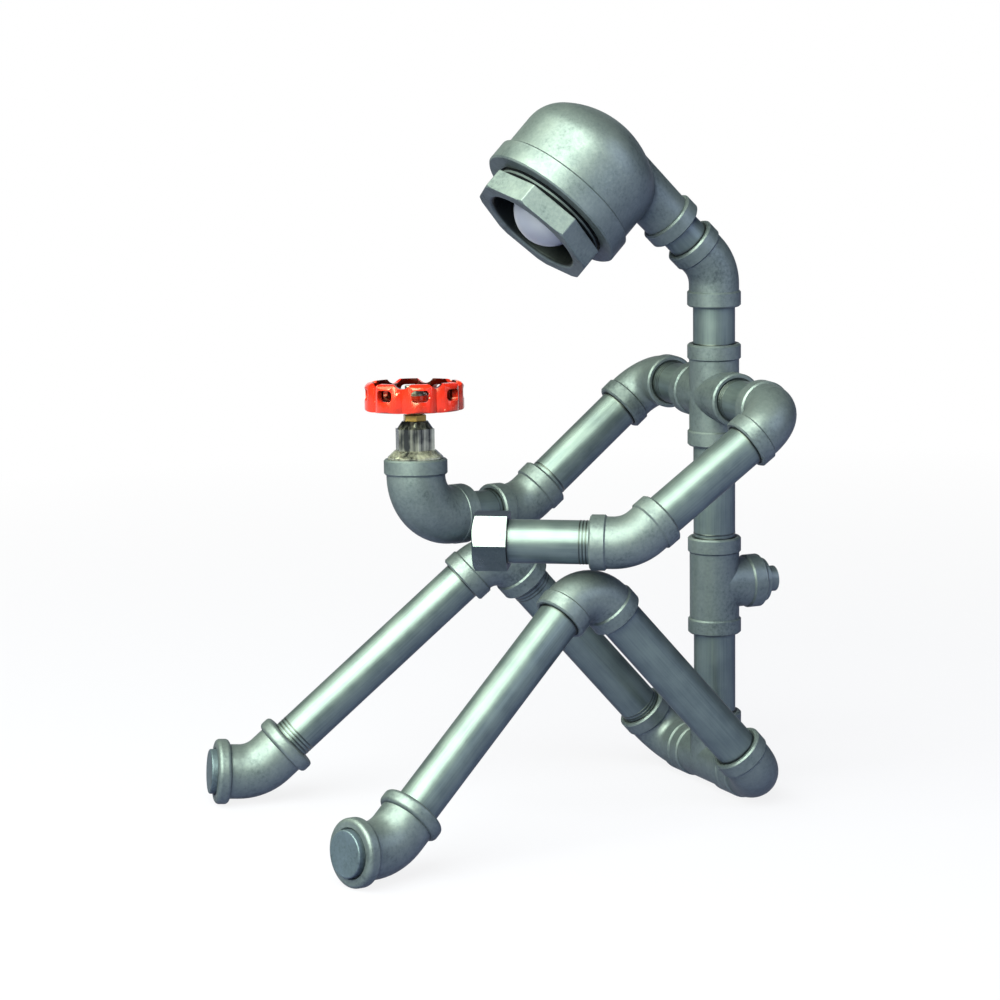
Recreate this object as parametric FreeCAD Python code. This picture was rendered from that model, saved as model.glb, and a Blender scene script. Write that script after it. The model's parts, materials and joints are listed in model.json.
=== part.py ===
import FreeCAD, Part
import math
import os

# A desk lamp in the form of a seated figure, screwed together from galvanised
# malleable iron pipe fittings. The figure faces -Y, its left side is +X and +Z is up.
# The origin is on the desk, on the axis of the upright pipe. Sizes are millimetres.

# Pipe and the threaded ends
PIPE_OD = 21.3
PIPE_WALL = 2.6
ENGAGE = 11.0            # how deep a pipe end sits in a fitting
SOCKET_CLEAR = 0.05      # radial running clearance of a thread in its socket
MOUTH_CHAMFER = 0.9      # countersink at each threaded mouth
SPILL = 1.0              # how far a cut or a join runs past the face it meets

# Cast fittings of the figure's limbs
BODY_R = 12.7            # outside radius of a cast body
BAND_R = 13.6            # outside radius of the flat band round each mouth
BAND_LENGTH = 8.0
BAND_ROUND = 0.8         # rounded edges of a band
ELBOW_REACH = 24.6       # corner to mouth of a right-angle elbow
ELBOW_BEND = 17.0        # corner to the start of its bend
TEE_REACH = 25.0         # centre to mouth of a tee
CROSS_REACH = 26.0       # centre to mouth of the cross
BEND45_REACH = 20.0      # corner to mouth of a 45 degree elbow
BEND45_START = 9.0       # corner to the start of its bend

# Upright pipe, with the lengths that show between the fittings
CHEST_OVER_KNEES = 78.4016   # from the knees up to the centre of the cross
UPPER_SPINE = 47.4
NECK = 19.0

# Arms
SHOULDER_GAP = 23.5      # pipe that shows between the cross and a shoulder elbow
ARM_SPAN = 99.6          # upper arm, from corner to corner of its elbows
LEFT_ARM_SLOPE = 35.2    # degrees below level
RIGHT_ARM_SLOPE = 39.8
LEFT_ARM_ROLL = 44.0     # degrees that the forearm is turned inwards
RIGHT_ARM_ROLL = 25.0
LEFT_FOREARM = 39.6
RIGHT_FOREARM = 18.0
CAP_FLATS = 27.0         # hexagon cap at the end of the left arm
CAP_LENGTH = 16.6
CAP_CROWN = 2.2

# Legs
LEG_TURN = 3.0           # degrees that the seat is turned on the upright pipe
HIP_GAP = 0.5            # nipple that shows between the hip tee and a hip elbow
THIGH = 100.0
KNEE_AHEAD = 99.2524     # level distance from the hips to the knees, under the hands
LEG_SPLAY = 10.5         # degrees that a shin is turned outwards
ANKLE_REACH = 23.6       # corner to the shin's mouth of a foot elbow
TOE_REACH = 21.5         # corner to the toe mouth of a foot elbow
FOOT_BEND = 9.5
FOOT_BODY_R = 13.9
ANKLE_BEAD_R = 16.2      # rounded bead where the shin enters
TOE_BEAD_R = 16.6        # rounded bead round the toe mouth
BEAD_LENGTH = 7.0
BEAD_ROUND = 2.2
TOE_PLUG_R = 11.4
TOE_PLUG_PROUD = 3.0     # how far a toe plug stands out of its mouth

# Head: a reducing elbow with a wide mouth
HEAD_GAP = 10.0          # nipple that shows between the neck elbow and the head
HEAD_ROLL = 3.0          # degrees that the head is turned on its nipple
HEAD_REACH = 41.0        # corner to the wide mouth
HEAD_LEG = 57.5          # corner to the small mouth
HEAD_R = 37.0            # outside radius of the barrel
HEAD_BAND_R = 38.9
HEAD_BAND_LENGTH = 11.5
HEAD_WALL = 4.0
DOME_HEIGHT = 26.0       # from the barrel's end to the crown
DOME_BASE = 12.0         # from the corner to the barrel's end, towards the mouth
KNUCKLE_R = 19.5         # side curve of the dome, where it meets the barrel
HEAD_LEG_R = 13.9        # small leg at the corner, before it tapers
HEAD_BLEND = 5.0         # fillet between the dome and the small leg
HEAD_THREAD_R = 30.15
HEAD_ENGAGE = 13.0
HEAD_SMALL_BAND_R = 14.6

# Bushing in the wide mouth
BUSHING_FLATS = 62.8     # across the flats of the octagon
BUSHING_HEIGHT = 11.0
BUSHING_THREAD_SHOWS = 4.0
BUSHING_BORE_R = 24.5
BUSHING_CHAMFER = 1.5
BUSHING_SIDES = 8

# Lamp and its holder, along the axis of the wide mouth
GLOBE_R = 18.0
GLOBE_PROUD = 3.0        # how far the globe stands out of the bushing
LAMP_LENGTH = 57.0
CAP_R = 6.9
CAP_HEIGHT = 18.0
CAP_TIP_R = 2.4
CAP_TIP_HEIGHT = 2.0
LAMP_NECK_R = 8.2
HOLDER_R = 12.5
HOLDER_FLOOR = 6.0
HOLDER_CLEAR = 0.3
STRAP_THICK = 1.5
STRAP_WIDTH = 9.0
STRAP_RING_BORE_R = 22.5

# Hand valve
HAND_REACH = 31.0        # corner to the mouth that takes the forearm
HAND_RISE = 30.5         # corner to the mouth that takes the bonnet
HAND_BEND = 22.0
HAND_BODY_R = 15.0
HAND_BAND_R = 16.2
HAND_FOREARM_BAND_R = 15.3
VALVE_LEAN = 3.0         # degrees that the hand is turned on its forearm
BONNET_THREAD_R = 13.45
BONNET_ENGAGE = 11.0
BONNET_FLANGE_R = 14.2
BONNET_FLANGE_HEIGHT = 1.0
BONNET_FLARE_HEIGHT = 3.4
BONNET_HEX_FLATS = 18.4
BONNET_HEX_HEIGHT = 11.0
BONNET_TOP_R = 6.6
BONNET_TOP_HEIGHT = 3.8
PACKING_NUT_FLATS = 10.8
PACKING_NUT_HEIGHT = 3.2
GLAND_R = 4.2
GLAND_HEIGHT = 1.3
STEM_R = 3.0
STEM_CLEAR = 0.05
WHEEL_LIFT = 1.0         # stem that shows under the handwheel
SWITCH_R = 8.6
SWITCH_HEIGHT = 8.0

# Scalloped handwheel
WHEEL_R = 24.1           # mean radius of the rim's outer face
WHEEL_LOBES = 8
LOBE_RISE = 1.3          # how far each lobe stands out of the mean radius
WHEEL_HEIGHT = 14.6
WHEEL_WALL = 4.6
WHEEL_TURN = 13.0        # degrees from the arm's side to the first lobe
WHEEL_TOP_ROUND = 3.6     # rounding of the rim's outer top edge
WHEEL_FOOT_ROUND = 1.6
WINDOW_WIDTH = 9.0
WINDOW_HEIGHT = 6.0
WINDOW_ROUND = 2.0
WINDOW_SILL = 5.6
CREST_CUT_R = 5.2        # radius of the dip in the rim between two lobes
CREST_DIP = 2.4
PLATE_THICK = 2.4
PLATE_LEVEL = 3.0
PLATE_HOLE_R = 3.0
PLATE_HOLE_RING = 14.0
PLATE_HOLES = 4
HUB_R = 7.0
HUB_HEIGHT = 7.5
WHEEL_NUT_FLATS = 9.0
WHEEL_NUT_HEIGHT = 4.0
WASHER_R = 6.2
WASHER_THICK = 1.0

# Cord inlet at the back of the waist
INLET_COLLAR_R = 11.2
INLET_COLLAR_LENGTH = 2.6
INLET_BOSS_R = 6.6
INLET_BOSS_LENGTH = 6.4
INLET_BORE_R = 3.6

# Lead inside the pipes
LEAD_R = 2.5
LEAD_BEND_R = 10.0

BORE_R = PIPE_OD / 2 - PIPE_WALL
SOCKET_R = PIPE_OD / 2 + SOCKET_CLEAR
UP = FreeCAD.Vector(0, 0, 1)
FORWARD = FreeCAD.Vector(0, -1, 0)
LEFT = FreeCAD.Vector(1, 0, 0)
PARTS = {}


def unit(vector):
    """Return the vector at length one."""
    return FreeCAD.Vector(vector).normalize()


def mix(first, second, degrees):
    """Turn from the first unit vector towards the second, square to it."""
    angle = math.radians(degrees)
    return first * math.cos(angle) + second * math.sin(angle)


def square_to(vector, axis):
    """Return the part of a vector that is square to an axis, at length one."""
    return unit(vector - axis * vector.dot(axis))


def frame(origin, x_axis, y_hint):
    """Return a placement whose X is x_axis and whose Y leans towards y_hint."""
    x = unit(x_axis)
    y = square_to(y_hint, x)
    z = x.cross(y)
    matrix = FreeCAD.Matrix(x.x, y.x, z.x, origin.x,
                            x.y, y.y, z.y, origin.y,
                            x.z, y.z, z.z, origin.z,
                            0, 0, 0, 1)
    return FreeCAD.Placement(matrix)


def placed(shape, place):
    """Return a copy of the shape, moved to a placement."""
    copy = shape.copy()
    copy.Placement = place.multiply(copy.Placement)
    return copy


def rod(start, direction, length, radius):
    """Return a cylinder from a start point along a direction."""
    return Part.makeCylinder(radius, length, start, direction)


def ring(start, direction, length, outer, inner):
    """Return a round tube from a start point along a direction."""
    hole = rod(start - direction * SPILL, direction, length + 2 * SPILL, inner)
    return rod(start, direction, length, outer).cut(hole)


def prism(start, direction, hint, length, flats, sides):
    """Return a bar with a regular outline, by the size across its flats."""
    corner_r = flats / 2 / math.cos(math.pi / sides)
    place = frame(start, direction, hint)
    turns = [2 * math.pi * i / sides for i in range(sides + 1)]
    points = [FreeCAD.Vector(0, corner_r * math.cos(a), corner_r * math.sin(a)) for a in turns]
    face = Part.Face(Part.makePolygon(points))
    return placed(face.extrude(FreeCAD.Vector(length, 0, 0)), place)


def turned(profile, start, direction):
    """Revolve a closed list of (along, radius) points about an axis."""
    points = [FreeCAD.Vector(along, radius, 0) for along, radius in profile]
    face = Part.Face(Part.makePolygon(points + points[:1]))
    solid = face.revolve(FreeCAD.Vector(0, 0, 0), FreeCAD.Vector(1, 0, 0), 360)
    hint = LEFT if abs(direction.dot(LEFT)) < 0.9 else UP
    return placed(solid, frame(start, direction, hint))


def chamfered_bar(bar, start, direction, length, corner_r, cut):
    """Round off the corners of a bar's far end with a cone."""
    margin = 5.0
    profile = [(-margin, 0), (-margin, corner_r + cut), (length - cut, corner_r + cut),
               (length - cut, corner_r), (length, corner_r - 2 * cut), (length, 0)]
    return bar.common(turned(profile, start, direction))


def band(corner, direction, reach, radius, length, rounding):
    """Return the band that ends a fitting's leg, with its edges eased."""
    back = reach - length
    profile = [(back, 0), (back, radius - rounding), (back + rounding, radius),
               (reach - rounding, radius), (reach, radius - rounding), (reach, 0)]
    return turned(profile, corner, direction)


def bead(corner, direction, reach, radius, length, rounding):
    """Return the fully rounded bead that ends a foot's leg."""
    blank = rod(corner + direction * (reach - length), direction, length, radius)
    return blank.makeFillet(rounding, [e for e in blank.Edges if len(e.Vertexes) == 1])


def socket(corner, direction, reach, radius=SOCKET_R, depth=ENGAGE):
    """Return the tool that cuts a threaded mouth, with its countersink."""
    wide = radius + MOUTH_CHAMFER
    profile = [(reach - depth, 0), (reach - depth, radius), (reach - MOUTH_CHAMFER, radius),
               (reach, wide), (reach + SPILL, wide), (reach + SPILL, 0)]
    return turned(profile, corner, direction)


def bend(corner, first, second, start, radius):
    """Return the curved part of a round leg, tangent to both directions."""
    opening = first.getAngle(second)
    bend_r = start * math.tan(opening / 2)
    middle = corner + unit(first + second) * (start / math.cos(opening / 2))
    circle = Part.Circle(corner + first * start, first, radius)
    disc = Part.Face(Part.Wire(circle.toShape()))
    axis = second.cross(first)
    return disc.revolve(middle, axis, 180 - math.degrees(opening)), bend_r


def curved_body(corner, first, second, reach, start, radius):
    """Return a round bar from mouth to mouth of an elbow, with no bore."""
    arc, _ = bend(corner, first, second, start, radius)
    legs = [rod(corner + way * start, way, length - start, radius)
            for way, length in ((first, reach[0]), (second, reach[1]))]
    return arc.fuse(legs)


def elbow(corner, first, second, reach, start, body_r=BODY_R, bands=None,
          sockets=None, bore_r=BORE_R, collar=band):
    """Return a cast elbow with a collar, a threaded mouth and a bore at each leg."""
    reach = reach if isinstance(reach, tuple) else (reach, reach)
    bands = bands or [(BAND_R, BAND_LENGTH, BAND_ROUND)] * 2
    sockets = sockets or [(SOCKET_R, ENGAGE)] * 2
    body = curved_body(corner, first, second, reach, start, body_r)
    ways = list(zip((first, second), reach, bands, sockets))
    body = body.fuse([collar(corner, way, length, *trim) for way, length, trim, _ in ways])
    tools = [socket(corner, way, length, *cut) for way, length, _, cut in ways]
    tools.append(curved_body(corner, first, second, reach, start, bore_r))
    return body.cut(tools).removeSplitter()


def junction(centre, ways, reach):
    """Return a cast tee or cross with a leg along each way."""
    legs = [rod(centre, way, reach, BODY_R) for way in ways]
    bands = [band(centre, way, reach, BAND_R, BAND_LENGTH, BAND_ROUND) for way in ways]
    tools = [socket(centre, way, reach) for way in ways]
    tools += [rod(centre, way, reach, BORE_R) for way in ways]
    return legs[0].fuse(legs[1:] + bands).cut(tools).removeSplitter()


def pipe(mouth, direction, shows):
    """Return a pipe by the mouth that it leaves and the length that shows."""
    start = mouth - direction * ENGAGE
    return ring(start, direction, shows + 2 * ENGAGE, PIPE_OD / 2, BORE_R)


def lead(points, bends):
    """Return a round lead through the points, with an arc at each inner one."""
    pieces = []
    start = points[0]
    for i, radius in enumerate(bends, 1):
        corner = points[i]
        back, ahead = unit(points[i - 1] - corner), unit(points[i + 1] - corner)
        reach = radius / math.tan(back.getAngle(ahead) / 2)
        pieces.append(rod(start, -back, (corner + back * reach - start).Length, LEAD_R))
        pieces.append(bend(corner, back, ahead, reach, LEAD_R)[0])
        start = corner + ahead * reach
    run = points[-1] - start
    pieces.append(rod(start, unit(run), run.Length, LEAD_R))
    return pieces[0].fuse(pieces[1:]) if len(pieces) > 1 else pieces[0]


def keep(name, shape):
    """Store a finished sub-part as one solid under its name."""
    solids = shape.Solids
    if len(solids) != 1 or not solids[0].isValid():
        raise RuntimeError(f"{name}: {len(solids)} solids, valid {shape.isValid()}")
    PARTS[name] = solids[0]


# Main stations up the figure, from the desk
SEAT_Z = BAND_R
HIP = UP * SEAT_Z
THIGH_SPAN = 2 * ELBOW_REACH + THIGH
KNEE_RISE = math.sqrt(THIGH_SPAN ** 2 - KNEE_AHEAD ** 2)
CHEST = HIP + UP * (KNEE_RISE + CHEST_OVER_KNEES)
WAIST = CHEST - UP * (TEE_REACH + UPPER_SPINE + CROSS_REACH)
NAPE = CHEST + UP * (CROSS_REACH + NECK + BEND45_REACH)
NECK_WAY = mix(FORWARD, UP, 45)
HEAD = NAPE + NECK_WAY * (BEND45_REACH + HEAD_GAP + HEAD_LEG)
MOUTH_WAY = mix(mix(FORWARD, -UP, 45), LEFT, HEAD_ROLL)


def spine():
    """Make the upright pipe, its waist tee and the cord inlet."""
    shows = (WAIST - HIP).Length - 2 * TEE_REACH
    keep("lower_spine_pipe", pipe(HIP + UP * TEE_REACH, UP, shows))
    keep("upper_spine_pipe", pipe(WAIST + UP * TEE_REACH, UP, UPPER_SPINE))
    keep("waist_tee", junction(WAIST, [UP, -UP, -FORWARD], TEE_REACH))
    keep("shoulder_cross", junction(CHEST, [UP, -UP, LEFT, -LEFT], CROSS_REACH))
    back = -FORWARD
    mouth = WAIST + back * TEE_REACH
    plug = rod(mouth - back * ENGAGE, back, ENGAGE, PIPE_OD / 2)
    collar = rod(mouth, back, INLET_COLLAR_LENGTH, INLET_COLLAR_R)
    boss = rod(mouth + back * INLET_COLLAR_LENGTH, back, INLET_BOSS_LENGTH, INLET_BOSS_R)
    total = ENGAGE + INLET_COLLAR_LENGTH + INLET_BOSS_LENGTH
    bore = rod(mouth - back * ENGAGE, back, total, INLET_BORE_R)
    keep("cord_inlet_plug", plug.fuse([collar, boss]).cut(bore))


def neck():
    """Make the neck pipe, its 45 degree elbow and the head's nipple."""
    keep("neck_pipe", pipe(CHEST + UP * CROSS_REACH, UP, NECK))
    keep("neck_elbow", elbow(NAPE, -UP, NECK_WAY, BEND45_REACH, BEND45_START))
    keep("head_nipple", pipe(NAPE + NECK_WAY * BEND45_REACH, NECK_WAY, HEAD_GAP))


def arc_about(centre, first, last):
    """Return the arc about a centre from one point to another."""
    radius = (first - centre).Length
    halfway = centre + unit(unit(first - centre) + unit(last - centre)) * radius
    return Part.Arc(first, halfway, last).toShape()


def dome(offset):
    """Return the head's barrel and dome, drawn in by an offset from outside."""
    crown_r = ((DOME_HEIGHT ** 2 + (HEAD_R - KNUCKLE_R) ** 2 - KNUCKLE_R ** 2)
               / (2 * (DOME_HEIGHT - KNUCKLE_R)))
    crown_centre = FreeCAD.Vector(DOME_BASE - DOME_HEIGHT + crown_r, 0, 0)
    knuckle_centre = FreeCAD.Vector(DOME_BASE, HEAD_R - KNUCKLE_R, 0)
    way = unit(knuckle_centre - crown_centre)
    crown = crown_centre - FreeCAD.Vector(crown_r - offset, 0, 0)
    meet = crown_centre + way * (crown_r - offset)
    side = FreeCAD.Vector(DOME_BASE, HEAD_R - offset, 0)
    rim = FreeCAD.Vector(HEAD_REACH, HEAD_R - offset, 0)
    foot = FreeCAD.Vector(HEAD_REACH, 0, 0)
    edges = [arc_about(crown_centre, crown, meet), arc_about(knuckle_centre, meet, side),
             Part.makeLine(side, rim), Part.makeLine(rim, foot), Part.makeLine(foot, crown)]
    face = Part.Face(Part.Wire(edges))
    return face.revolve(FreeCAD.Vector(0, 0, 0), FreeCAD.Vector(1, 0, 0), 360)


def head_casting():
    """Make the reducing elbow: barrel, dome and tapered leg, hollow inside."""
    neck_side = -NECK_WAY
    place = frame(HEAD, MOUTH_WAY, LEFT)
    leg_end = HEAD_LEG - BAND_LENGTH / 2
    leg = Part.makeCone(HEAD_LEG_R, BODY_R, leg_end, HEAD, neck_side)
    shell = placed(dome(0), place).fuse(leg)
    tapers = [f for f in shell.Faces if isinstance(f.Surface, Part.Cone)]
    seams = [e for f in tapers for e in f.Edges
             if max((v.Point - HEAD).dot(neck_side) for v in e.Vertexes) < leg_end - BAND_ROUND]
    shell = shell.makeFillet(HEAD_BLEND, seams)
    shell = shell.fuse([
        band(HEAD, MOUTH_WAY, HEAD_REACH, HEAD_BAND_R, HEAD_BAND_LENGTH, BAND_ROUND),
        band(HEAD, neck_side, HEAD_LEG, HEAD_SMALL_BAND_R, BAND_LENGTH, BAND_ROUND)])
    cavity = placed(dome(HEAD_WALL), place)
    throat = HEAD_REACH - HEAD_ENGAGE
    throat_r = HEAD_THREAD_R - PIPE_WALL
    ledge = ring(HEAD + MOUTH_WAY * (throat - HEAD_WALL), MOUTH_WAY,
                 HEAD_ENGAGE + HEAD_WALL, HEAD_R, throat_r)
    tools = [cavity.cut(ledge),
             socket(HEAD, MOUTH_WAY, HEAD_REACH, HEAD_THREAD_R + SOCKET_CLEAR, HEAD_ENGAGE),
             socket(HEAD, neck_side, HEAD_LEG),
             rod(HEAD, neck_side, HEAD_LEG, BORE_R)]
    keep("head_elbow", shell.cut(tools))


def head_bushing():
    """Make the octagon bushing that frames the lamp."""
    inner_end = HEAD_REACH - HEAD_ENGAGE + STRAP_THICK
    face = HEAD_REACH + BUSHING_THREAD_SHOWS
    shank = rod(HEAD + MOUTH_WAY * inner_end, MOUTH_WAY, face - inner_end, HEAD_THREAD_R)
    start = HEAD + MOUTH_WAY * face
    block = prism(start, MOUTH_WAY, LEFT, BUSHING_HEIGHT, BUSHING_FLATS, BUSHING_SIDES)
    corner_r = BUSHING_FLATS / 2 / math.cos(math.pi / BUSHING_SIDES)
    block = chamfered_bar(block, start, MOUTH_WAY, BUSHING_HEIGHT, corner_r, BUSHING_CHAMFER / 2)
    end = face + BUSHING_HEIGHT
    rim_r = BUSHING_BORE_R + BUSHING_CHAMFER
    bore = turned([(inner_end - SPILL, 0), (inner_end - SPILL, BUSHING_BORE_R),
                   (end - BUSHING_CHAMFER, BUSHING_BORE_R), (end, rim_r),
                   (end + SPILL, rim_r), (end + SPILL, 0)], HEAD, MOUTH_WAY)
    keep("head_bushing", shank.fuse(block).cut(bore))


def lamp():
    """Make the frosted lamp, its cap, the holder and the holder's bracket."""
    tip = HEAD_REACH + BUSHING_THREAD_SHOWS + BUSHING_HEIGHT + GLOBE_PROUD
    globe = tip - GLOBE_R
    cap_foot = tip - LAMP_LENGTH
    cap_top = cap_foot + CAP_TIP_HEIGHT + CAP_HEIGHT
    neck_top = globe - math.sqrt(GLOBE_R ** 2 - LAMP_NECK_R ** 2)
    glass = Part.makeSphere(GLOBE_R, HEAD + MOUTH_WAY * globe)
    stalk = rod(HEAD + MOUTH_WAY * cap_top, MOUTH_WAY, neck_top - cap_top + SPILL, LAMP_NECK_R)
    keep("bulb_glass", glass.fuse(stalk))
    keep("bulb_cap", turned([(cap_foot, 0), (cap_foot, CAP_TIP_R),
                             (cap_foot + CAP_TIP_HEIGHT, CAP_R), (cap_top, CAP_R),
                             (cap_top, 0)], HEAD, MOUTH_WAY))
    foot = cap_foot - HOLDER_FLOOR
    bore = turned([(cap_foot, 0), (cap_foot, CAP_TIP_R + HOLDER_CLEAR),
                   (cap_foot + CAP_TIP_HEIGHT, CAP_R + HOLDER_CLEAR),
                   (cap_top + SPILL, CAP_R + HOLDER_CLEAR), (cap_top + SPILL, 0)],
                  HEAD, MOUTH_WAY)
    body = rod(HEAD + MOUTH_WAY * foot, MOUTH_WAY, cap_top - foot, HOLDER_R)
    keep("lamp_holder", body.cut(bore))
    seat = HEAD_REACH - HEAD_ENGAGE
    bracket = ring(HEAD + MOUTH_WAY * seat, MOUTH_WAY, STRAP_THICK,
                   HEAD_THREAD_R - HOLDER_CLEAR, STRAP_RING_BORE_R)
    keep("holder_bracket", bracket.fuse([strap(side, seat, cap_top) for side in (1, -1)]))


def strap(side, seat, level):
    """Return one leg of the holder's bracket, bent inwards onto the holder."""
    drop = seat - level + STRAP_THICK
    outer = STRAP_RING_BORE_R + STRAP_THICK
    place = frame(HEAD, MOUTH_WAY, LEFT * side)
    low = level - STRAP_THICK
    upright = Part.makeBox(drop, STRAP_THICK, STRAP_WIDTH,
                           FreeCAD.Vector(low, STRAP_RING_BORE_R, -STRAP_WIDTH / 2))
    foot = Part.makeBox(STRAP_THICK, outer, STRAP_WIDTH,
                        FreeCAD.Vector(low, 0, -STRAP_WIDTH / 2))
    hole = Part.makeCylinder(HOLDER_R, 3 * STRAP_THICK,
                             FreeCAD.Vector(low - STRAP_THICK, 0, 0), FreeCAD.Vector(1, 0, 0))
    return placed(upright.fuse(foot).cut(hole), place)


def arm(side, slope, roll, forearm):
    """Make one arm from the cross outwards and return its wrist and forearm way."""
    name = "left" if side > 0 else "right"
    out = LEFT * side
    nipple_mouth = CHEST + out * CROSS_REACH
    keep(f"{name}_shoulder_nipple", pipe(nipple_mouth, out, SHOULDER_GAP))
    shoulder = nipple_mouth + out * (SHOULDER_GAP + ELBOW_REACH)
    way = mix(FORWARD, -UP, slope)
    keep(f"{name}_shoulder_elbow", elbow(shoulder, -out, way, ELBOW_REACH, ELBOW_BEND))
    upper_arm = ARM_SPAN - ELBOW_REACH - BEND45_REACH
    keep(f"{name}_upper_arm", pipe(shoulder + way * ELBOW_REACH, way, upper_arm))
    joint = shoulder + way * ARM_SPAN
    rise = mix(square_to(UP, way), -out, roll)
    on = mix(way, rise, 45)
    keep(f"{name}_arm_elbow", elbow(joint, -way, on, BEND45_REACH, BEND45_START))
    keep(f"{name}_forearm", pipe(joint + on * BEND45_REACH, on, forearm))
    wrist = joint + on * (BEND45_REACH + forearm)
    return shoulder, joint, wrist, on


def hand_cap(wrist, on):
    """Make the hexagon cap that ends the left arm."""
    block = prism(wrist, on, LEFT, CAP_LENGTH, CAP_FLATS, 6)
    corner_r = CAP_FLATS / 2 / math.cos(math.pi / 6)
    block = chamfered_bar(block, wrist, on, CAP_LENGTH, corner_r, CAP_CROWN / 2)
    keep("left_hand_cap", block.cut(socket(wrist, -on, 0, SOCKET_R, ENGAGE)))


def hand_elbow(wrist, on):
    """Make the right hand's elbow and return its corner and the valve's way."""
    corner = wrist + on * HAND_REACH
    upright = square_to(UP, on)
    rise = mix(upright, on.cross(upright), VALVE_LEAN)
    bands = [(HAND_FOREARM_BAND_R, BAND_LENGTH, BAND_ROUND), (HAND_BAND_R, BAND_LENGTH, BAND_ROUND)]
    sockets = [(SOCKET_R, ENGAGE), (BONNET_THREAD_R + SOCKET_CLEAR, BONNET_ENGAGE)]
    casting = elbow(corner, -on, rise, (HAND_REACH, HAND_RISE), HAND_BEND,
                    HAND_BODY_R, bands, sockets)
    well_depth = SWITCH_HEIGHT + BONNET_ENGAGE
    well = rod(corner + rise * (HAND_RISE - well_depth), rise, well_depth,
               SWITCH_R + HOLDER_CLEAR)
    keep("right_hand_elbow", casting.cut(well))
    return corner, rise


def valve(corner, rise, on):
    """Make the bonnet, packing nut, switch and stem of the hand."""
    mouth = corner + rise * HAND_RISE
    keep("rotary_switch", rod(mouth - rise * (BONNET_ENGAGE + SWITCH_HEIGHT), rise,
                              SWITCH_HEIGHT, SWITCH_R))
    flare_top = BONNET_FLANGE_HEIGHT + BONNET_FLARE_HEIGHT
    hex_top = flare_top + BONNET_HEX_HEIGHT
    bonnet_top = hex_top + BONNET_TOP_HEIGHT
    corner_r = BONNET_HEX_FLATS / 2 / math.cos(math.pi / 6)
    lower = turned([(-BONNET_ENGAGE, 0), (-BONNET_ENGAGE, BONNET_THREAD_R),
                    (0, BONNET_THREAD_R), (0, BONNET_FLANGE_R),
                    (BONNET_FLANGE_HEIGHT, BONNET_FLANGE_R), (flare_top, corner_r),
                    (flare_top, 0)], mouth, rise)
    block = prism(mouth + rise * flare_top, rise, on, BONNET_HEX_HEIGHT, BONNET_HEX_FLATS, 6)
    top = turned([(hex_top, 0), (hex_top, BONNET_HEX_FLATS / 2),
                  (bonnet_top, BONNET_TOP_R), (bonnet_top, 0)], mouth, rise)
    stem_hole = rod(mouth - rise * BONNET_ENGAGE, rise, BONNET_ENGAGE + bonnet_top,
                    STEM_R + STEM_CLEAR)
    keep("valve_bonnet", lower.fuse([block, top]).cut(stem_hole))
    nut_top = bonnet_top + PACKING_NUT_HEIGHT
    nut = prism(mouth + rise * bonnet_top, rise, on, PACKING_NUT_HEIGHT, PACKING_NUT_FLATS, 6)
    nut = nut.fuse(rod(mouth + rise * nut_top, rise, GLAND_HEIGHT, GLAND_R))
    hole = rod(mouth, rise, nut_top + GLAND_HEIGHT, STEM_R + STEM_CLEAR)
    keep("packing_nut", nut.cut(hole))
    return mouth + rise * (nut_top + GLAND_HEIGHT + WHEEL_LIFT)


def rim_outline(radius, rise):
    """Return the lobed outline of the rim as a ring of arcs."""
    step = 2 * math.pi / WHEEL_LOBES
    edges = []
    for i in range(WHEEL_LOBES):
        marks = [((i - 0.5) * step, radius - rise), (i * step, radius + rise),
                 ((i + 0.5) * step, radius - rise)]
        points = [FreeCAD.Vector(r * math.cos(a), r * math.sin(a), 0) for a, r in marks]
        edges.append(Part.Arc(*points).toShape())
    return Part.Face(Part.Wire(edges))


def around(shape, count, offset=0.0):
    """Return copies of a shape, spaced evenly about the Z axis."""
    copies = []
    for i in range(count):
        copy = shape.copy()
        copy.rotate(FreeCAD.Vector(0, 0, 0), UP, offset + 360.0 * i / count)
        copies.append(copy)
    return copies


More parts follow.
